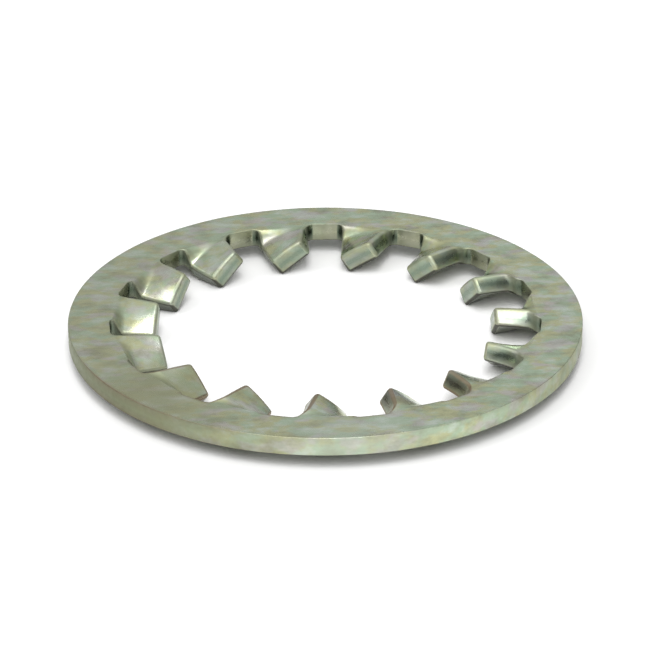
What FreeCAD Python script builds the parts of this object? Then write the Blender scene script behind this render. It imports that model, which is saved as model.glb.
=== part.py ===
import FreeCAD, Part

import math
import os

import Sketcher

# Lock washer with internal teeth, stamped from one piece of spring steel. Millimetres, +Z up.
# The origin lies on the washer's axis, at the height of the lowest tooth corners.
# One tooth points to -Y. Seen from the ring towards the hole, the left side of each tooth is raised.

DIMENSIONS = [
    ("hole_dia", 25.0, "circle that the ends of the teeth touch"),
    ("tooth_length", 3.45, "from that circle to the one that the bottoms of the gaps touch"),
    ("ring_width", 3.05, "from the bottoms of the gaps to the rim"),
    ("sheet_thickness", 1.4, "spring steel strip"),
    ("tooth_count", 15, "teeth round the hole"),
    ("gap_width", 2.5, "gap between the ends of two teeth, as punched in the flat strip"),
    ("gap_taper", 3.3, "how far each side of a gap leans outwards, in degrees"),
    ("gap_corner", 0.6, "radius of the corners at a gap's bottom"),
    ("root_twist", 20.0, "turn of a tooth about its own length just inside the ring, in degrees"),
    ("tip_twist", 41.0, "the same turn at the end of the tooth"),
    ("root_drop", 0.4, "how far a tooth's middle lies below the ring's middle just inside the ring"),
    ("tip_drop", 0.47, "the same drop at the end of the tooth"),
    ("bend_angle", 66.0, "where on a gap's corner the bend starts, in degrees from straight across the tooth"),
    ("bend_length", 0.85, "length over which a tooth turns out of the ring"),
    ("edge_break", 0.1, "broken edge round both faces"),
    ("tip_break", 0.1, "broken edge round the end of a tooth"),
]

doc = FreeCAD.newDocument("lock_washer")
sheet = doc.addObject("Spreadsheet::Sheet", "sizes")
for row, (alias, value, note) in enumerate(DIMENSIONS, start=1):
    sheet.set("A%d" % row, alias)
    sheet.set("B%d" % row, str(value))
    sheet.set("C%d" % row, note)
    sheet.setAlias("B%d" % row, alias)
doc.recompute()

# Lengths and angles that several features share, as expressions
THICKNESS = "sizes.sheet_thickness"
TIP_RADIUS = "(sizes.hole_dia / 2)"
ROOT_RADIUS = "(%s + sizes.tooth_length)" % TIP_RADIUS
OUTSIDE_RADIUS = "(%s + sizes.ring_width)" % ROOT_RADIUS
HALF_PITCH = "(180 deg / sizes.tooth_count)"
TAPER = "(sizes.gap_taper * 1 deg)"
SIDE_ANGLE = "(%s - %s)" % (HALF_PITCH, TAPER)
HALF_BOTTOM = "(sizes.gap_width / 2 + sizes.tooth_length * tan(%s))" % TAPER
CORNER_OUT = "(%s - sizes.gap_corner)" % ROOT_RADIUS
CORNER_ACROSS = "(%s - sizes.gap_corner * (tan(%s) + 1 / cos(%s)))" % (HALF_BOTTOM, TAPER, TAPER)
CORNER_ALONG = "(%s * cos(%s) + %s * sin(%s))" % (CORNER_OUT, HALF_PITCH, CORNER_ACROSS, HALF_PITCH)
CORNER_ASIDE = "(%s * sin(%s) - %s * cos(%s))" % (CORNER_OUT, HALF_PITCH, CORNER_ACROSS, HALF_PITCH)
BEND_START = "(%s + sizes.gap_corner * sin(sizes.bend_angle * 1 deg))" % CORNER_ALONG
SEAT_END = "(%s - sizes.gap_width / 2)" % BEND_START

body = doc.addObject("PartDesign::Body", "washer_body")
body.Label = "lock_washer"

# Edges that lie nearer than this to a face or circle are taken to lie on it
NEAR = 1e-4


def origin_feature(role):
    """The body's own origin plane or axis of this role."""
    return next(feature for feature in body.Origin.OriginFeatures if feature.Role == role)


def new_sketch(name, role):
    """A sketch on one of the body's origin planes."""
    sketch = body.newObject("Sketcher::SketchObject", name)
    sketch.AttachmentSupport = [(origin_feature(role), "")]
    sketch.MapMode = "FlatFace"
    return sketch


def constrain(sketch, constraints):
    for constraint in constraints:
        sketch.addConstraint(Sketcher.Constraint(*constraint))


def dimension(sketch, name, expression, kind, *where):
    """A named dimension of a sketch, bound to an expression."""
    index = sketch.addConstraint(Sketcher.Constraint(kind, *where))
    sketch.renameConstraint(index, name)
    sketch.setExpression("Constraints." + name, expression)


def point(x, y):
    return FreeCAD.Vector(x, y, 0)


def add_outline(sketch, corners):
    """Lines from corner to corner, joined end to end all the way round."""
    ends = corners[1:] + corners[:1]
    lines = [sketch.addGeometry(Part.LineSegment(point(*a), point(*b))) for a, b in zip(corners, ends)]
    constrain(sketch, [("Coincident", line, 2, after, 1) for line, after in zip(lines, lines[1:] + lines[:1])])
    return lines


def add_circle(sketch, name, radius, expression):
    """A circle about the washer's axis."""
    circle = sketch.addGeometry(Part.Circle(point(0, 0), FreeCAD.Vector(0, 0, 1), radius))
    constrain(sketch, [("Coincident", circle, 3, -1, 1)])
    dimension(sketch, name, expression, "Radius", circle, radius)


def cut_upwards(name, sketch):
    """A pocket from the strip's lower face through its upper one."""
    pocket = body.newObject("PartDesign::Pocket", name)
    pocket.Profile = sketch
    pocket.Type = "ThroughAll"
    pocket.Reversed = True
    return pocket


def repeat_round_axis(name, features):
    """One copy of the features for every tooth."""
    pattern = body.newObject("PartDesign::PolarPattern", name)
    pattern.Originals = features
    pattern.Axis = (origin_feature("Z_Axis"), [""])
    pattern.Angle = 360
    pattern.setExpression("Occurrences", "sizes.tooth_count")
    body.Tip = pattern
    return pattern


# The flat ring, with a little spare inside for the seats of the teeth
ring_sketch = new_sketch("ring_outline", "XY_Plane")
add_circle(ring_sketch, "outside", 19.0, OUTSIDE_RADIUS)
add_circle(ring_sketch, "inside", 15.1, "(%s + %s) / 2" % (BEND_START, SEAT_END))
ring = body.newObject("PartDesign::Pad", "ring")
ring.Profile = ring_sketch
ring.setExpression("Length", THICKNESS)

# A gap has a flat bottom with round corners, half a pitch beside the tooth that points to -Y
gap_sketch = new_sketch("gap_outline", "XY_Plane")
gap_sketch.setExpression("AttachmentOffset.Rotation.Angle", HALF_PITCH)
half_gap, gap_end, side_half, side_end, bottom_half, gap_bottom = 1.25, 12.5, 1.41, 15.32, 0.81, 15.95
corner_half, corner_middle, corner_radius, corner_out = 1.24, 15.77, 0.6, 15.35
right_side = gap_sketch.addGeometry(Part.LineSegment(point(half_gap, -gap_end), point(side_half, -side_end)))
bottom = gap_sketch.addGeometry(Part.LineSegment(point(bottom_half, -gap_bottom), point(-bottom_half, -gap_bottom)))
left_side = gap_sketch.addGeometry(Part.LineSegment(point(-side_half, -side_end), point(-half_gap, -gap_end)))
open_end = gap_sketch.addGeometry(Part.LineSegment(point(-half_gap, -gap_end), point(half_gap, -gap_end)))
right_corner = gap_sketch.addGeometry(
    Part.Arc(point(bottom_half, -gap_bottom), point(corner_half, -corner_middle), point(side_half, -side_end))
)
left_corner = gap_sketch.addGeometry(
    Part.Arc(point(-side_half, -side_end), point(-corner_half, -corner_middle), point(-bottom_half, -gap_bottom))
)
constrain(gap_sketch, [
    ("Horizontal", bottom),
    ("Coincident", left_side, 2, open_end, 1),
    ("Coincident", open_end, 2, right_side, 1),
    ("Tangent", right_side, 2, right_corner, 2),
    ("Tangent", right_corner, 1, bottom, 1),
    ("Tangent", bottom, 2, left_corner, 2),
    ("Tangent", left_corner, 1, left_side, 1),
    ("Symmetric", open_end, 1, open_end, 2, -2),
    ("Symmetric", right_corner, 3, left_corner, 3, -2),
])
dimension(gap_sketch, "corner", "sizes.gap_corner", "Radius", right_corner, corner_radius)
dimension(gap_sketch, "corner_across", CORNER_ACROSS, "DistanceX", -1, 1, right_corner, 3, bottom_half)
dimension(gap_sketch, "corner_out", CORNER_OUT, "DistanceY", right_corner, 3, -1, 1, corner_out)
dimension(gap_sketch, "end_width", "sizes.gap_width", "DistanceX", open_end, 1, open_end, 2, 2 * half_gap)
dimension(gap_sketch, "end", TIP_RADIUS, "DistanceY", open_end, 1, -1, 1, gap_end)
gap = cut_upwards("gap", gap_sketch)

# The land between two gaps ends in a flat seat, from which the tooth grows
seat_sketch = new_sketch("seat_outline", "XY_Plane")
seat_aside, seat_start, seat_end = 2.4, 15.7, 14.5
corners = [(-seat_aside, -seat_start), (seat_aside, -seat_start), (seat_aside, -seat_end), (-seat_aside, -seat_end)]
outer_side, seat_right, inner_side, seat_left = add_outline(seat_sketch, corners)
constrain(seat_sketch, [
    ("Vertical", seat_right),
    ("Vertical", seat_left),
    ("Horizontal", inner_side),
    ("Symmetric", outer_side, 1, outer_side, 2, -2),
])
dimension(seat_sketch, "width", "2 * " + CORNER_ASIDE, "DistanceX", outer_side, 1, outer_side, 2, 2 * seat_aside)
dimension(seat_sketch, "start", BEND_START, "DistanceY", outer_side, 1, -1, 1, seat_start)
dimension(seat_sketch, "end", SEAT_END, "DistanceY", inner_side, 1, -1, 1, seat_end)
seat = cut_upwards("seat", seat_sketch)
gaps = repeat_round_axis("gaps", [gap, seat])
doc.recompute()


def punched_edges(shape, thickness, root_radius):
    """Names of the edges of both faces round the rim and round the bottoms of the gaps."""
    names = []
    for number, edge in enumerate(shape.Edges, start=1):
        box = edge.BoundBox
        level = min(abs(box.ZMin), abs(box.ZMin - thickness)) < NEAR and box.ZLength < NEAR
        middle = edge.valueAt((edge.FirstParameter + edge.LastParameter) / 2)
        outer = math.hypot(middle.x, middle.y) > root_radius - NEAR
        if level and (isinstance(edge.Curve, Part.Circle) or outer):
            names.append("Edge%d" % number)
    return names


broken_edges = body.newObject("PartDesign::Chamfer", "broken_edges")
root_radius = sheet.hole_dia / 2 + sheet.tooth_length
broken_edges.Base = (gaps, punched_edges(gaps.Shape, sheet.sheet_thickness, root_radius))
broken_edges.setExpression("Size", "sizes.edge_break")
body.Tip = broken_edges
doc.recompute()


def set_turn(sketch, distance):
    """Places a cross-section at a distance from the axis, dropped and turned as a tooth is there."""
    length_in = "(%s - %s)" % (BEND_START, distance)
    share = "min(1; %s / sizes.bend_length)" % length_in
    share = "(%s ^ 2 * (3 - 2 * %s))" % (share, share)
    along = "%s / (%s - %s)" % (length_in, BEND_START, TIP_RADIUS)
    drop = "%s * (sizes.root_drop + %s * (sizes.tip_drop - sizes.root_drop))" % (share, along)
    twist = "%s * (sizes.root_twist + %s * (sizes.tip_twist - sizes.root_twist))" % (share, along)
    sketch.setExpression("AttachmentOffset.Base.z", distance)
    sketch.setExpression("AttachmentOffset.Base.y", "%s / 2 - %s" % (THICKNESS, drop))
    sketch.setExpression("AttachmentOffset.Rotation.Angle", "-1 deg * %s" % twist)


def tooth_section(name, distance, side, face, inset="0"):
    """A tooth's cross-section. side and face are half its width across the sides and on the faces."""
    sketch = new_sketch(name, "XZ_Plane")
    set_turn(sketch, distance)
    drawn_side, drawn_face, drawn_rise, drawn_top = 1.8, 1.6, 0.5, 0.7
    lower, _, right, _, upper, _, left, _ = add_outline(sketch, [
        (-drawn_face, -drawn_top), (drawn_face, -drawn_top), (drawn_side, -drawn_rise), (drawn_side, drawn_rise),
        (drawn_face, drawn_top), (-drawn_face, drawn_top), (-drawn_side, drawn_rise), (-drawn_side, -drawn_rise),
    ])
    constrain(sketch, [
        ("Symmetric", lower, 1, lower, 2, -2),
        ("Symmetric", upper, 1, upper, 2, -2),
        ("Symmetric", lower, 1, upper, 2, -1),
        ("Symmetric", right, 1, right, 2, -1),
        ("Symmetric", left, 1, left, 2, -1),
        ("Symmetric", right, 1, left, 2, -2),
    ])
    width = "2 * (%s - %s)" % (side, inset)
    face_width = "2 * (%s - %s)" % (face, inset)
    height = "%s - 2 * %s" % (THICKNESS, inset)
    side_height = "%s - 2 * sizes.edge_break" % height
    dimension(sketch, "face_width", face_width, "DistanceX", lower, 1, lower, 2, 2 * drawn_face)
    dimension(sketch, "width", width, "DistanceX", left, 1, right, 1, 2 * drawn_side)
    dimension(sketch, "side_height", side_height, "DistanceY", right, 1, right, 2, 2 * drawn_rise)
    dimension(sketch, "height", height, "DistanceY", lower, 2, upper, 1, 2 * drawn_top)
    return sketch


def root_section(name, angle):
    """Where the round corners of the gaps bound the tooth, at this angle on them."""
    distance = "(%s + sizes.gap_corner * sin(%s))" % (CORNER_ALONG, angle)
    side = "(%s - sizes.gap_corner * cos(%s))" % (CORNER_ASIDE, angle)
    reach = "(sizes.gap_corner + sizes.edge_break) ^ 2 - (sizes.gap_corner * sin(%s)) ^ 2" % angle
    return tooth_section(name, distance, side, "(%s - sqrt(%s))" % (CORNER_ASIDE, reach))


def straight_section(name, distance, inset="0"):
    """Where the straight sides of the gaps bound the tooth."""
    beyond = "(%s - %s) * tan(%s)" % (CORNER_ALONG, distance, SIDE_ANGLE)
    side = "(%s - %s - sizes.gap_corner / cos(%s))" % (CORNER_ASIDE, beyond, SIDE_ANGLE)
    face = "(%s - sizes.edge_break / cos(%s))" % (side, SIDE_ANGLE)
    return tooth_section(name, distance, side, face, inset)


# The tooth turns out of the ring along the corners of its gaps, then runs on to its end
ROOT_STEPS = 2
sections = []
for step in range(ROOT_STEPS + 1):
    share = step / ROOT_STEPS
    angle = "(%s * sizes.bend_angle * 1 deg + %s * %s)" % (1 - share, share, SIDE_ANGLE)
    sections.append(root_section("root_section_%d" % step, angle))
sections.append(straight_section("bend_end", "(%s - sizes.bend_length)" % BEND_START))
sections.append(straight_section("plate_end", "(%s + sizes.tip_break)" % TIP_RADIUS))
sections.append(straight_section("tip", TIP_RADIUS, inset="sizes.tip_break"))
doc.recompute()
tooth = body.newObject("PartDesign::AdditiveLoft", "tooth")
tooth.Profile = sections[0]
tooth.Sections = sections[1:]
tooth.Ruled = True
teeth = repeat_round_axis("teeth", [tooth])
doc.recompute()

# The washer stands on its lowest corners
body.Placement.Base.z = -body.Shape.optimalBoundingBox(False).ZMin
doc.recompute()

for item in doc.Objects:
    if "Invalid" in item.State or "Error" in item.State:
        raise RuntimeError("%s failed: %s" % (item.Label, item.State))
if body.Shape.isNull() or not body.Shape.isValid():
    raise RuntimeError("%s has no valid shape" % body.Label)

os.makedirs("parts", exist_ok=True)
body.Shape.exportStep(os.path.join("parts", body.Label + ".step"))
box = body.Shape.optimalBoundingBox(False)
print("%s: %d solid, %.2f mm3" % (body.Label, len(body.Shape.Solids), body.Shape.Volume))
print("box %.3f x %.3f x %.3f, bottom %.4f" % (box.XLength, box.YLength, box.ZLength, box.ZMin))
print("lift of the ring's lower face %.3f" % body.Placement.Base.z)
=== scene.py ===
import math

import bpy
from mathutils import Matrix, Vector, noise


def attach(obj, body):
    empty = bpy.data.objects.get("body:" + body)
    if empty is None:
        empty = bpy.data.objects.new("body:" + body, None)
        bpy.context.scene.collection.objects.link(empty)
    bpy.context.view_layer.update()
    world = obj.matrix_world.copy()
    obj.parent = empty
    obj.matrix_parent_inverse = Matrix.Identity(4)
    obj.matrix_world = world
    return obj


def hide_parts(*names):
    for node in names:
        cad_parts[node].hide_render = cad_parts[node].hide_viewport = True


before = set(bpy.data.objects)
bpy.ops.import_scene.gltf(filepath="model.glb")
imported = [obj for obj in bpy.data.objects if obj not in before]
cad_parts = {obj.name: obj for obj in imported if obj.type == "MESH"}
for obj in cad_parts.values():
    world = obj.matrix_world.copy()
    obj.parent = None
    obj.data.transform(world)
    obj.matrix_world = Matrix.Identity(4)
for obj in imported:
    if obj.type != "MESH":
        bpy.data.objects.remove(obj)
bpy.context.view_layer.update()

# Lock washer with internal teeth. Metres. The washer's axis is Z, and one tooth points to -Y.
HOLE_RADIUS = 0.0125
TOOTH_LENGTH = 0.00345
RING_WIDTH = 0.00305
THICKNESS = 0.0014
TEETH = 15
HALF_GAP = 0.00125
GAP_TAPER = math.radians(3.3)
GAP_CORNER = 0.0006
ROOT_TWIST = math.radians(20)
TIP_TWIST = math.radians(41)
ROOT_DROP = 0.0004
TIP_DROP = 0.00047
BEND_ANGLE = math.radians(66)
BEND_LENGTH = 0.00085
RING_BREAK = 0.00006
TOOTH_BREAK = 0.00025
CROWN = 0.00011

GAP_BOTTOM = HOLE_RADIUS + TOOTH_LENGTH
RIM = GAP_BOTTOM + RING_WIDTH
HALF_PITCH = math.pi / TEETH
SIDE_ANGLE = HALF_PITCH - GAP_TAPER
HALF_BOTTOM = HALF_GAP + TOOTH_LENGTH * math.tan(GAP_TAPER)
# A round corner of a gap: its middle out from the axis and across from the gap's own middle line,
# then along and aside from the middle line of the tooth
CORNER_OUT = GAP_BOTTOM - GAP_CORNER
CORNER_ACROSS = HALF_BOTTOM - GAP_CORNER * (math.tan(GAP_TAPER) + 1 / math.cos(GAP_TAPER))
CORNER_ALONG = CORNER_OUT * math.cos(HALF_PITCH) + CORNER_ACROSS * math.sin(HALF_PITCH)
CORNER_ASIDE = CORNER_OUT * math.sin(HALF_PITCH) - CORNER_ACROSS * math.cos(HALF_PITCH)
BEND_START = CORNER_ALONG + GAP_CORNER * math.sin(BEND_ANGLE)
# The ring's lower face lies this high over the floor, as in the CAD part, because the teeth reach below it
cad_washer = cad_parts["lock_washer"].data
LIFT = min(point.co.z for point in cad_washer.vertices if point.co.xy.length > (GAP_BOTTOM + RIM) / 2)

# Faces across one pitch, and rows of them from the rim inwards
BOTTOM_COLUMNS = 3
CORNER_COLUMNS = 3
ROOT_COLUMNS = 10
COLUMNS = ROOT_COLUMNS + 2 * (BOTTOM_COLUMNS + CORNER_COLUMNS)
RING_ROWS = 7
BEND_ROWS = 9
SIDE_ROWS = 9
BREAK_SEGMENTS = 4
SHARP_ANGLE = math.radians(50)
SMALL = 1e-7
FACE, WALL, EDGE = 0, 1, 2

# Degrees by which each tooth turns beyond the common twist, from the one at -Y on round to the right
EXTRA_TURN = (0, -2, -6, -6, 1, 2.5, -1, -7, -5, -1, 1, 0, 1, 2, 2)
# The unevenness of the strip, and of its zinc
WAVE_SCALE, WAVE_HEIGHT = 260.0, 0.000012
LUMP_SCALE, LUMP_HEIGHT = 1500.0, 0.000003

# The plating: base colours, then the sizes and places of its patterns
ZINC_GREEN = (0.49, 0.62, 0.45, 1)
ZINC_OLIVE = (0.58, 0.60, 0.36, 1)
ZINC_MAUVE = (0.62, 0.58, 0.60, 1)
ZINC_DARK = (0.31, 0.32, 0.22, 1)
ZINC_LIGHT = (0.69, 0.78, 0.69, 1)
# A darker olive, for a spot at the front left
ZINC_DARKER_OLIVE = (0.40, 0.41, 0.24, 1)
WALL_COLOUR = (0.175, 0.225, 0.175, 1)
# Painted shade in the round corners of the gaps
CORNER_SHADE_COLOUR = (0.06, 0.08, 0.05, 1)
# Painted shade on faces and edges that face downwards
UNDERSIDE_SHADE_COLOUR = (0.06, 0.06, 0.05, 1)
WORN_COLOUR = (0.37, 0.39, 0.30, 1)
BARE_COLOUR = (0.26, 0.18, 0.12, 1)
# Painted shade on the rim wall away from its front
RIM_SHADE_COLOUR = (0.18, 0.20, 0.12, 1)
ROLLING_TURN = math.radians(-4)
STREAK_SCALE = (300, 2600, 2600)
PATCH_SCALE = (680, 1050, 1050)
SPECK_SCALE, GRAIN_SCALE = 2300.0, 9000.0
BUMP_HEIGHT, BUMP_STRENGTH = 0.000008, 0.32
# A darker olive spot at the front left
OLIVE_SPOT_PLACE, OLIVE_SPOT_REACH = (-0.0125, -0.0125, 0.0025), 0.0085
# A painted pool of light on the ring's front middle
FRONT_LIGHT_PLACE, FRONT_LIGHT_REACH = (0.002, -0.019, 0.002), 0.0075
# Where the painted shade of the gaps' corners lies: its reach off the round corner, its middle angle and
# spread
CORNER_SHADE_REACH = 0.0003
CORNER_SHADE_MIDDLE, CORNER_SHADE_SPREAD = math.radians(70), math.radians(34)
# The rim's edges count at least this much, fully only far to the left, so their worn line and painted shade
# lie on the left
RIM_EDGE_LEAST = 0.15
# Where colours come in: painted shade to the left, on the rim off its bright middle and near the gap
# bottoms, and brown to the front
LEFT_SHADE_FADE = (0.008, -0.016)
RIM_SHINE, RIM_SHADE_FADE = 0.004, (0.006, 0.019)
GAP_SHADE_FADE = (GAP_BOTTOM - 0.0009, GAP_BOTTOM - 0.0003)
FRONT_FADE = (-0.006, -0.010)

# The picture: 650 pixels across, 256.4 of them for the washer's outer radius in its middle
PICTURE_SIZE, RIM_PIXELS, SENSOR_WIDTH = 650, 256.4, 36
CAMERA_DISTANCE, CAMERA_ASIDE, CAMERA_UP = 15 * RIM, 0.0014 * RIM, 0.03 * RIM
CAMERA_ELEVATION, CAMERA_ROLL = math.radians(26.75), math.radians(-0.26)

# The floor
FLOOR_SIZE = 6
PAPER_LIGHT, PAPER_DARK, PAPER_SEEN = (0.88, 0.88, 0.88, 1), (0.86, 0.86, 0.86, 1), (1.0, 1.0, 1.0, 1)

# The light: levels of the tent, between which heights it brightens, and how far it leans from the camera
HORIZON_LEVEL, TENT_LEVEL, TOP_LEVEL = 0.16, 0.63, 0.3
TENT_FOOT, TENT_FULL, TENT_LEAN, TOP_START = 0.2, 0.62, 0.25, 0.8


def deselect_all():
    for item in bpy.context.selected_objects:
        item.select_set(False)


def edit(piece):
    bpy.context.view_layer.objects.active = piece
    bpy.ops.object.mode_set(mode="EDIT")
    bpy.ops.mesh.select_all(action="DESELECT")


def pick(piece, kind, wanted):
    """Selects the vertices, edges or faces of the piece in edit mode that the test wants."""
    bpy.ops.object.mode_set(mode="OBJECT")
    mesh = piece.data
    for group in (mesh.vertices, mesh.edges, mesh.polygons):
        group.foreach_set("select", [False] * len(group))
    chosen = {"VERT": mesh.vertices, "EDGE": mesh.edges, "FACE": mesh.polygons}[kind]
    for element in chosen:
        element.select = wanted(element)
    bpy.context.tool_settings.mesh_select_mode = (kind == "VERT", kind == "EDGE", kind == "FACE")
    bpy.ops.object.mode_set(mode="EDIT")


def assign_kind(piece, kind):
    """Marks the selected faces as flat face, punched wall or broken edge."""
    piece.active_material_index = kind
    bpy.ops.object.material_slot_assign()


def row_at(distance):
    """Test for the vertices of the row at this distance in front of the axis."""
    return lambda vertex: abs(vertex.co.y + distance) < SMALL * 10


def bend_share(distance):
    """How far a tooth has turned out of the ring at this distance from the axis."""
    share = min(1.0, max(0.0, (BEND_START - distance) / BEND_LENGTH))
    return share * share * (3 - 2 * share)


def turn_at(distance):
    """(turn, drop) of a tooth at this distance from the axis."""
    share = bend_share(distance)
    along = (BEND_START - distance) / (BEND_START - HOLE_RADIUS)
    turn = share * (ROOT_TWIST + along * (TIP_TWIST - ROOT_TWIST))
    drop = share * (ROOT_DROP + along * (TIP_DROP - ROOT_DROP))
    return turn, drop


def corner_end(angle):
    """(distance, half width) where the round corners of the gaps bound the tooth, at this angle on them."""
    return CORNER_ALONG + GAP_CORNER * math.sin(angle), CORNER_ASIDE - GAP_CORNER * math.cos(angle)


def plan_ring_end():
    """(aside, along) of each point of the ring's inner edge over one pitch, from gap over tooth to gap."""
    sine, cosine = math.sin(HALF_PITCH), math.cos(HALF_PITCH)
    side = []
    for step in range(BOTTOM_COLUMNS + 1):
        across = CORNER_ACROSS * step / BOTTOM_COLUMNS
        side.append((GAP_BOTTOM * sine - across * cosine, GAP_BOTTOM * cosine + across * sine))
    square = math.pi / 2 + HALF_PITCH
    for step in range(1, CORNER_COLUMNS + 1):
        distance, half = corner_end(square + (BEND_ANGLE - square) * step / CORNER_COLUMNS)
        side.append((half, distance))
    root_half = side[-1][0]
    root = [(root_half * (1 - 2 * step / ROOT_COLUMNS), BEND_START) for step in range(1, ROOT_COLUMNS)]
    return side + root + [(-aside, along) for aside, along in reversed(side)]


def side_half(distance):
    """Half the width of a tooth at this distance, where its sides are straight."""
    beyond = (CORNER_ALONG - distance) * math.tan(SIDE_ANGLE)
    return CORNER_ASIDE - beyond - GAP_CORNER / math.cos(SIDE_ANGLE)


def plan_rows():
    """(distance from the axis, half width) of each row of a tooth, inside the ring's inner edge."""
    rows = []
    for step in range(1, BEND_ROWS + 1):
        rows.append(corner_end(BEND_ANGLE + (SIDE_ANGLE - BEND_ANGLE) * step / BEND_ROWS))
    side_start = rows[-1][0]
    for step in range(1, SIDE_ROWS + 1):
        distance = side_start + (HOLE_RADIUS - side_start) * step / SIDE_ROWS
        rows.append((distance, side_half(distance)))
    return rows


def is_upright(face):
    return abs(face.normal.z) < 0.5


def on_border(face):
    """Test for the upright faces where one pitch meets the next."""
    across = abs(face.center.x) + face.center.y * math.tan(HALF_PITCH)
    return is_upright(face) and abs(across) < SMALL * 10


def make_pitch():
    """One tooth with its part of the ring: a flat sheet, raised to its thickness, turned row by row."""
    bpy.ops.mesh.primitive_circle_add(vertices=COLUMNS * TEETH, radius=RIM, fill_type="NOTHING")
    piece = bpy.context.object
    edit(piece)
    middle = -math.pi / 2
    reach = HALF_PITCH + SMALL / RIM
    pick(piece, "VERT", lambda v: abs(math.atan2(v.co.y, v.co.x) - middle) > reach)
    bpy.ops.mesh.delete(type="VERT")
    bpy.ops.mesh.select_mode(type="EDGE")
    bpy.ops.mesh.select_all(action="SELECT")
    radius = RIM
    for step in range(1, RING_ROWS + 1):
        nearer = RIM + (GAP_BOTTOM - RIM) * step / RING_ROWS
        bpy.ops.mesh.extrude_edges_move()
        bpy.ops.transform.resize(value=(nearer / radius, nearer / radius, 1), center_override=(0, 0, 0))
        radius = nearer
    for number, (aside, along) in enumerate(plan_ring_end()):
        angle = HALF_PITCH * (1 - 2 * number / COLUMNS)
        place = Vector((GAP_BOTTOM * math.sin(angle), -GAP_BOTTOM * math.cos(angle), 0))
        pick(piece, "VERT", lambda v: (v.co - place).length < SMALL * 10)
        bpy.ops.transform.translate(value=(aside - place.x, -along - place.y, 0))
    on_root = row_at(BEND_START)
    pick(piece, "EDGE", lambda e: all(on_root(piece.data.vertices[end]) for end in e.vertices))
    rows = plan_rows()
    last, half = corner_end(BEND_ANGLE)
    for distance, next_half in rows:
        bpy.ops.mesh.extrude_edges_move()
        bpy.ops.transform.translate(value=(0, last - distance, 0))
        bpy.ops.transform.resize(value=(next_half / half, 1, 1), center_override=(0, -distance, 0))
        last, half = distance, next_half
    bpy.ops.mesh.select_mode(type="FACE")
    bpy.ops.mesh.select_all(action="SELECT")
    bpy.ops.mesh.normals_make_consistent(inside=False)
    bpy.ops.mesh.extrude_region_move(TRANSFORM_OT_translate={"value": (0, 0, THICKNESS)})
    for _ in (FACE, WALL, EDGE):
        bpy.ops.object.material_slot_add()
    pick(piece, "FACE", lambda f: is_upright(f) and f.center.xy.length < GAP_BOTTOM + SMALL)
    assign_kind(piece, WALL)
    pick(piece, "FACE", on_border)
    bpy.ops.mesh.delete(type="FACE")
    for distance, _ in rows:
        turn, drop = turn_at(distance)
        pick(piece, "VERT", row_at(distance))
        middle_height = (0, -distance, THICKNESS / 2)
        bpy.ops.transform.rotate(value=-turn, orient_axis="Y", center_override=middle_height)
        bpy.ops.transform.translate(value=(0, 0, -drop))
    bpy.ops.object.mode_set(mode="OBJECT")
    return piece


def repeat_round_axis(piece):
    edit(piece)
    bpy.ops.mesh.select_all(action="SELECT")
    turn = 2 * math.pi * (TEETH - 1) / TEETH
    bpy.ops.mesh.spin(steps=TEETH - 1, dupli=True, angle=turn, center=(0, 0, 0), axis=(0, 0, 1))
    bpy.ops.mesh.select_all(action="SELECT")
    bpy.ops.mesh.remove_doubles(threshold=SMALL * 20)
    bpy.ops.mesh.normals_make_consistent(inside=False)
    bpy.ops.transform.translate(value=(0, 0, LIFT))
    bpy.ops.object.mode_set(mode="OBJECT")


def tooth_frame(place):
    """(number of the nearest tooth, turn that brings it to the front)."""
    number = round((math.atan2(place.y, place.x) + math.pi / 2) / (2 * HALF_PITCH)) % TEETH
    return number, Matrix.Rotation(-number * 2 * HALF_PITCH, 3, "Z")


def break_edges(piece):
    """Rounds the sharp edges, those of the teeth more than those of the ring."""
    edit(piece)
    bpy.ops.mesh.select_mode(type="EDGE")
    bpy.ops.mesh.edges_select_sharp(sharpness=SHARP_ANGLE)
    bpy.ops.object.mode_set(mode="OBJECT")
    mesh = piece.data
    weights = mesh.attributes.new("bevel_weight_edge", "FLOAT", "EDGE")
    ring_weight = RING_BREAK / TOOTH_BREAK
    for edge in mesh.edges:
        middle = sum((mesh.vertices[end].co for end in edge.vertices), Vector()) / 2
        share = bend_share(-(tooth_frame(middle)[1] @ middle).y)
        weights.data[edge.index].value = edge.select * (ring_weight + (1 - ring_weight) * share)
    broken = piece.modifiers.new("broken_edges", "BEVEL")
    broken.limit_method = "WEIGHT"
    broken.width = TOOTH_BREAK
    broken.segments = BREAK_SEGMENTS
    broken.use_clamp_overlap = False
    broken.material = EDGE
    bpy.ops.object.modifier_apply(modifier=broken.name)


def split_faces(piece):
    """Four faces in place of each, in the same plane, so that the unevenness has points to act on."""
    finer = piece.modifiers.new("finer", "SUBSURF")
    finer.subdivision_type = "SIMPLE"
    finer.levels = 1
    finer.render_levels = 1
    bpy.context.view_layer.objects.active = piece
    bpy.ops.object.modifier_apply(modifier=finer.name)


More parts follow.
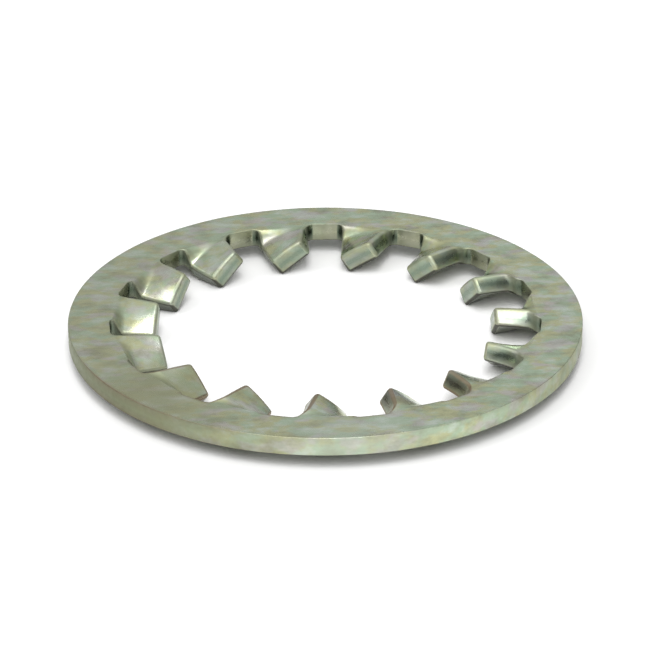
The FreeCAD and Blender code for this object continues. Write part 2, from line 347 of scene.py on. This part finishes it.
def store_kinds(piece):
    """Values on the points: how much of a wall, edge, bend and of the rim each one is, and nearness to a
    gap corner for its painted shade.
    """
    mesh = piece.data
    walls = [0.0] * len(mesh.vertices)
    edges = [0.0] * len(mesh.vertices)
    counts = [0] * len(mesh.vertices)
    for polygon in mesh.polygons:
        for corner in polygon.vertices:
            counts[corner] += 1
            walls[corner] += polygon.material_index == WALL
            edges[corner] += polygon.material_index == EDGE
    walls = [total / count for total, count in zip(walls, counts)]
    edges = [total / count for total, count in zip(edges, counts)]
    corners, bends, rims = [], [], []
    for vertex in mesh.vertices:
        local = tooth_frame(vertex.co)[1] @ vertex.co
        # Painted shade in the gaps' round corners, strongest on the middle of their arc
        aside, along = CORNER_ASIDE - abs(local.x), -local.y - CORNER_ALONG
        away = abs(math.hypot(aside, along) - GAP_CORNER) / CORNER_SHADE_REACH
        aslant = abs(math.atan2(along, aside) - CORNER_SHADE_MIDDLE) / CORNER_SHADE_SPREAD
        corners.append(max(0.0, 1 - away) * max(0.0, 1 - aslant))
        share = bend_share(-local.y)
        bends.append(4 * share * (1 - share))
        rims.append(float(vertex.co.xy.length > RIM - RING_BREAK / 2))
        # Towards the front and right the rim's edges count less, so their worn line and painted shade lie
        # mostly on the left
        if vertex.co.xy.length > RIM - 2 * RING_BREAK:
            edges[vertex.index] *= min(1.0, max(RIM_EDGE_LEAST, -vertex.co.x / RIM))
    kinds = {"wall": walls, "edge": edges, "corner": corners, "bend": bends, "rim": rims}
    for name, values in kinds.items():
        layer = mesh.attributes.new(name, "FLOAT", "POINT")
        layer.data.foreach_set("value", values)
    mesh.polygons.foreach_set("material_index", [0] * len(mesh.polygons))
    while len(mesh.materials):
        mesh.materials.pop()


def press_teeth(piece):
    """Crowns the upper faces of the teeth, and turns each tooth a little more or less than the others."""
    for vertex in piece.data.vertices:
        number, to_tooth = tooth_frame(vertex.co)
        local = to_tooth @ vertex.co
        share = bend_share(-local.y)
        if not share:
            continue
        turn, drop = turn_at(-local.y)
        middle = Vector((0, local.y, LIFT + THICKNESS / 2 - drop))
        flat = Matrix.Rotation(-turn, 3, "Y") @ (local - middle)
        aside = min(1.0, abs(flat.x) / side_half(-local.y))
        flat.z += CROWN * share * (1 - aside * aside) * (0.5 + flat.z / THICKNESS)
        turned = Matrix.Rotation(turn + share * math.radians(EXTRA_TURN[number]), 3, "Y") @ flat
        vertex.co = to_tooth.transposed() @ (turned + middle)


def press_unevenly(piece):
    """The strip is never quite flat, and its zinc is a little lumpy."""
    mesh = piece.data
    moved = []
    for vertex in mesh.vertices:
        place = vertex.co
        wave = noise.noise(place * WAVE_SCALE) * WAVE_HEIGHT + noise.noise(place * LUMP_SCALE) * LUMP_HEIGHT
        moved.append(place + vertex.normal * wave)
    lowest = Vector((0, 0, min(place.z for place in moved)))
    for vertex, place in zip(mesh.vertices, moved):
        vertex.co = place - lowest
    mesh.update()


def shade_evenly(piece):
    """Smooth shading that leaves the broad faces flat right up to their broken edges."""
    bpy.ops.object.shade_smooth()
    even = piece.modifiers.new("even", "WEIGHTED_NORMAL")
    even.mode = "FACE_AREA"
    bpy.ops.object.modifier_apply(modifier=even.name)


class Nodes:
    """A material's nodes, added and joined in one line each."""

    def __init__(self, name):
        self.material = bpy.data.materials.new(name)
        self.material.use_nodes = True
        self.tree = self.material.node_tree
        self.tree.nodes.clear()
        self.output = self.tree.nodes.new("ShaderNodeOutputMaterial")

    def add(self, kind, inputs=None, **settings):
        node = self.tree.nodes.new("ShaderNode" + kind)
        for name, value in settings.items():
            setattr(node, name, value)
        for name, value in (inputs or {}).items():
            if isinstance(value, bpy.types.NodeSocket):
                self.tree.links.new(value, node.inputs[name])
            else:
                node.inputs[name].default_value = value
        return node

    def noise(self, vector, scale, detail, roughness=0.55):
        inputs = {"Vector": vector, "Scale": scale, "Detail": detail, "Roughness": roughness}
        return self.add("TexNoise", inputs).outputs["Fac"]

    def mapped(self, vector, **inputs):
        return self.add("Mapping", {"Vector": vector, **inputs}).outputs[0]

    def stored(self, name):
        """A value that store_kinds has left on the points."""
        return self.add("Attribute", attribute_name=name).outputs["Fac"]

    def math(self, operation, a, b):
        return self.add("Math", {0: a, 1: b}, operation=operation).outputs[0]

    def absolute(self, value):
        return self.add("Math", {0: value}, operation="ABSOLUTE").outputs[0]

    def sum(self, a, b):
        return self.math("ADD", a, b)

    def product(self, a, b):
        return self.math("MULTIPLY", a, b)

    def ranged(self, value, low, high, to_low=0.0, to_high=1.0):
        inputs = {"Value": value, "From Min": low, "From Max": high, "To Min": to_low, "To Max": to_high}
        return self.add("MapRange", inputs, clamp=True).outputs["Result"]

    def spot(self, place, middle, reach, strength, ragged):
        """A ragged spot: this strong in the middle, nothing at its reach."""
        away = self.add("VectorMath", {0: place, 1: middle}, operation="DISTANCE").outputs["Value"]
        away = self.sum(away, self.product(ragged, reach))
        return self.ranged(away, reach * 1.4, reach * 0.6, 0.0, strength)

    def mix(self, share, a, b):
        """From a to b. A Mix node has its colours at inputs 6 and 7, and at output 2."""
        node = self.add("Mix", data_type="RGBA")
        for socket, value in ((node.inputs[0], share), (node.inputs[6], a), (node.inputs[7], b)):
            if isinstance(value, bpy.types.NodeSocket):
                self.tree.links.new(value, socket)
            else:
                socket.default_value = value
        return node.outputs[2]

    def shine(self, inputs):
        shader = self.add("BsdfPrincipled", inputs)
        self.tree.links.new(shader.outputs[0], self.output.inputs["Surface"])


def plating_colour_and_painted_light(n, place, turned, streaks):
    """Blotches of green, olive and mauve, darker and lighter clouds, a darker olive spot, a painted pool of
    light at the front, and painted shade to the left.
    """
    patchy = n.mapped(turned, Scale=PATCH_SCALE)
    clouds = n.noise(patchy, 1.0, 3.0, 0.5)
    blooms = n.noise(n.mapped(patchy, Location=(7, 3, 5)), 0.8, 3.0, 0.5)
    shades = n.noise(n.mapped(patchy, Location=(2, 9, 4)), 0.6, 5.0, 0.65)
    colour = n.mix(n.ranged(clouds, 0.42, 0.58), ZINC_GREEN, ZINC_OLIVE)
    colour = n.mix(n.ranged(blooms, 0.5, 0.62, 0.0, 0.7), colour, ZINC_MAUVE)
    colour = n.mix(n.ranged(shades, 0.5, 0.68, 0.0, 0.7), colour, ZINC_DARK)
    colour = n.mix(n.ranged(shades, 0.48, 0.34, 0.0, 0.8), colour, ZINC_LIGHT)
    colour = n.mix(n.ranged(streaks, 0.45, 0.68, 0.0, 0.2), colour, ZINC_DARK)
    # A darker olive spot at the front left
    colour = n.mix(n.spot(place, OLIVE_SPOT_PLACE, OLIVE_SPOT_REACH, 0.8, blooms), colour, ZINC_DARKER_OLIVE)
    # A painted pool of light at the front
    colour = n.mix(n.spot(place, FRONT_LIGHT_PLACE, FRONT_LIGHT_REACH, 0.3, clouds), colour, ZINC_LIGHT)
    # Painted shade: darker towards the left
    side = n.add("SeparateXYZ", {"Vector": place}).outputs["X"]
    return n.mix(n.ranged(side, *LEFT_SHADE_FADE, 0.0, 0.3), colour, ZINC_DARK)


def worked_colour_and_painted_shade(n, place, colour):
    """Over that, the rim, the punched walls of the gaps, the underside, the bends and the worn edges, with
    painted shade on the rim's sides, near the gap bottoms, in the gap corners and on what faces down.
    """
    apart = n.add("SeparateXYZ", {"Vector": place}).outputs
    side, front = apart["X"], apart["Y"]
    upwards = n.add("SeparateXYZ", {"Vector": n.add("TexCoord").outputs["Normal"]}).outputs["Z"]
    away = n.add("VectorMath", {0: place}, operation="LENGTH").outputs["Value"]
    wall, edge, rim = n.stored("wall"), n.stored("edge"), n.stored("rim")

    # Painted shade on the rim wall away from its bright front middle, and the whole rim a little darker
    aside = n.absolute(n.sum(side, -RIM_SHINE))
    colour = n.mix(n.product(rim, n.ranged(aside, *RIM_SHADE_FADE, 0.0, 0.95)), colour, RIM_SHADE_COLOUR)
    colour = n.mix(n.product(rim, 0.15), colour, ZINC_DARK)

    # Painted shade on the upright faces near the gap bottoms, apart from the rim
    upright = n.math("SUBTRACT", n.ranged(n.absolute(upwards), 0.6, 0.2), rim)
    upright = n.product(upright, n.ranged(away, *GAP_SHADE_FADE))
    colour = n.mix(n.ranged(upright, 0.0, 1.0, 0.0, 0.85), colour, ZINC_DARK)
    colour = n.mix(n.ranged(wall, 0.1, 0.9, 0.0, 0.9), colour, WALL_COLOUR)
    # Painted shade in the gaps' round corners, on their walls
    corner_shade = n.product(wall, n.ranged(n.stored("corner"), 0.1, 0.6, 0.0, 0.85))
    colour = n.mix(corner_shade, colour, CORNER_SHADE_COLOUR)
    # Painted shade on faces that face downwards
    colour = n.mix(n.ranged(upwards, -0.15, -0.5, 0.0, 0.65), colour, UNDERSIDE_SHADE_COLOUR)
    colour = n.mix(n.ranged(n.stored("bend"), 0.0, 1.0, 0.0, 0.35), colour, ZINC_DARK)

    colour = n.mix(n.ranged(edge, 0.1, 1.0, 0.0, 0.5), colour, WORN_COLOUR)
    # Painted shade on edges that face downwards
    colour = n.mix(n.product(edge, n.ranged(upwards, 0.05, -0.3, 0.0, 0.9)), colour, UNDERSIDE_SHADE_COLOUR)
    bare = n.math("MAXIMUM", edge, n.product(wall, 0.6))
    bare = n.product(bare, n.ranged(front, *FRONT_FADE, 0.0, 0.7))
    return n.mix(bare, colour, BARE_COLOUR)


def zinc_plate():
    """Dull zinc over rolled steel: blotchy, finely streaked, duller on edges, bends and the rim."""
    n = Nodes("zinc_plate")
    place = n.add("TexCoord").outputs["Object"]
    turned = n.mapped(place, Rotation=(0, 0, ROLLING_TURN))
    streaks = n.noise(n.mapped(turned, Scale=STREAK_SCALE), 1.0, 4.0, 0.6)
    specks = n.noise(place, SPECK_SCALE, 4.0, 0.7)
    grain = n.noise(place, GRAIN_SCALE, 3.0, 0.7)
    colour = worked_colour_and_painted_shade(n, place, plating_colour_and_painted_light(n, place, turned, streaks))

    dullness = n.ranged(n.sum(streaks, specks), 0.75, 1.25, 0.16, 0.3)
    for name, more in (("edge", 0.35), ("bend", 0.4), ("rim", 0.25)):
        dullness = n.sum(dullness, n.ranged(n.stored(name), 0.0, 1.0, 0.0, more))

    height = n.sum(n.product(streaks, 0.8), n.product(grain, 0.5))
    height = n.sum(height, n.product(specks, 1.5))
    inputs = {"Height": height, "Strength": BUMP_STRENGTH, "Distance": BUMP_HEIGHT}
    bump = n.add("Bump", inputs).outputs[0]
    n.shine({"Base Color": colour, "Metallic": 1.0, "Roughness": dullness, "Normal": bump})
    return n.material


def paper():
    """The pale floor, white where the camera, a reflection or a view through something meets it."""
    n = Nodes("floor_paper")
    place = n.add("TexCoord").outputs["Object"]
    cloud = n.noise(place, 6.0, 2.0)
    light = n.add("LightPath").outputs
    seen = n.math("MAXIMUM", light["Is Glossy Ray"], light["Is Transmission Ray"])
    seen = n.math("MAXIMUM", light["Is Camera Ray"], seen)
    colour = n.mix(seen, n.mix(cloud, PAPER_DARK, PAPER_LIGHT), PAPER_SEEN)
    n.shine({"Base Color": colour, "Roughness": 0.9, "Specular IOR Level": 0.2})
    return n.material


def add_floor():
    bpy.ops.mesh.primitive_plane_add(size=FLOOR_SIZE)
    floor = bpy.context.object
    floor.name = "floor"
    floor.data.materials.append(paper())


def add_camera():
    sine, cosine = math.sin(CAMERA_ELEVATION), math.cos(CAMERA_ELEVATION)
    forward = Vector((0, cosine, -sine))
    up = Vector((0, sine, cosine))
    right = Vector((1, 0, 0))
    data = bpy.data.cameras.new("camera")
    data.sensor_width = SENSOR_WIDTH
    data.lens = RIM_PIXELS / PICTURE_SIZE * SENSOR_WIDTH * CAMERA_DISTANCE / RIM
    data.clip_start = 0.01
    camera = bpy.data.objects.new("camera", data)
    bpy.context.scene.collection.objects.link(camera)
    place = Vector((0, 0, LIFT)) - forward * CAMERA_DISTANCE - right * CAMERA_ASIDE + up * CAMERA_UP
    facing = Matrix((right, up, -forward)).transposed().to_4x4()
    camera.matrix_world = Matrix.Translation(place) @ facing @ Matrix.Rotation(CAMERA_ROLL, 4, "Z")
    bpy.context.scene.camera = camera


def add_lamp(name, azimuth, elevation, distance, size, power):
    """A soft lamp that faces the washer. Azimuth 0 is the camera's side, and plus is to the right."""
    data = bpy.data.lights.new(name, "AREA")
    data.shape = "RECTANGLE"
    data.size, data.size_y = size
    data.energy = power
    lamp = bpy.data.objects.new(name, data)
    bpy.context.scene.collection.objects.link(lamp)
    turn, rise = math.radians(azimuth), math.radians(elevation)
    outwards = Vector((math.sin(turn) * math.cos(rise), -math.cos(turn) * math.cos(rise), math.sin(rise)))
    lamp.location = outwards * distance
    lamp.rotation_euler = (-lamp.location).to_track_quat("-Z", "Y").to_euler()


def add_light():
    """A light tent, open low down and further up on the camera's side, with a large and a small lamp."""
    world = bpy.data.worlds.new("studio")
    bpy.context.scene.world = world
    world.use_nodes = True
    nodes, links = world.node_tree.nodes, world.node_tree.links
    direction = nodes.new("ShaderNodeTexCoord")
    split = nodes.new("ShaderNodeSeparateXYZ")
    lean = nodes.new("ShaderNodeMath")
    lean.operation = "MULTIPLY_ADD"
    lean.inputs[1].default_value = TENT_LEAN
    tent = nodes.new("ShaderNodeMapRange")
    tent.interpolation_type = "SMOOTHSTEP"
    top = nodes.new("ShaderNodeMapRange")
    for node, values in (
        (tent, (TENT_FOOT, TENT_FULL, HORIZON_LEVEL, TENT_LEVEL)),
        (top, (TOP_START, 1.0, 0.0, TOP_LEVEL)),
    ):
        for name, value in zip(("From Min", "From Max", "To Min", "To Max"), values):
            node.inputs[name].default_value = value
    both = nodes.new("ShaderNodeMath")
    links.new(direction.outputs["Generated"], split.inputs[0])
    links.new(split.outputs["Y"], lean.inputs[0])
    links.new(split.outputs["Z"], lean.inputs[2])
    links.new(lean.outputs[0], tent.inputs["Value"])
    links.new(split.outputs["Z"], top.inputs["Value"])
    links.new(tent.outputs["Result"], both.inputs[0])
    links.new(top.outputs["Result"], both.inputs[1])
    links.new(both.outputs[0], nodes["Background"].inputs["Color"])
    add_lamp("key_lamp", azimuth=0, elevation=53, distance=0.9, size=(0.3, 0.84), power=5.8)
    add_lamp("side_lamp", azimuth=-67, elevation=45, distance=1.0, size=(0.42, 0.62), power=1.8)
    bpy.context.scene.view_settings.view_transform = "Standard"


deselect_all()
washer = make_pitch()
repeat_round_axis(washer)
break_edges(washer)
split_faces(washer)
store_kinds(washer)
press_teeth(washer)
press_unevenly(washer)
shade_evenly(washer)
washer.name = "washer"
washer.data.name = "washer"
washer.data.materials.append(zinc_plate())
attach(washer, "root")
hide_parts("lock_washer")
add_floor()
add_camera()
add_light()
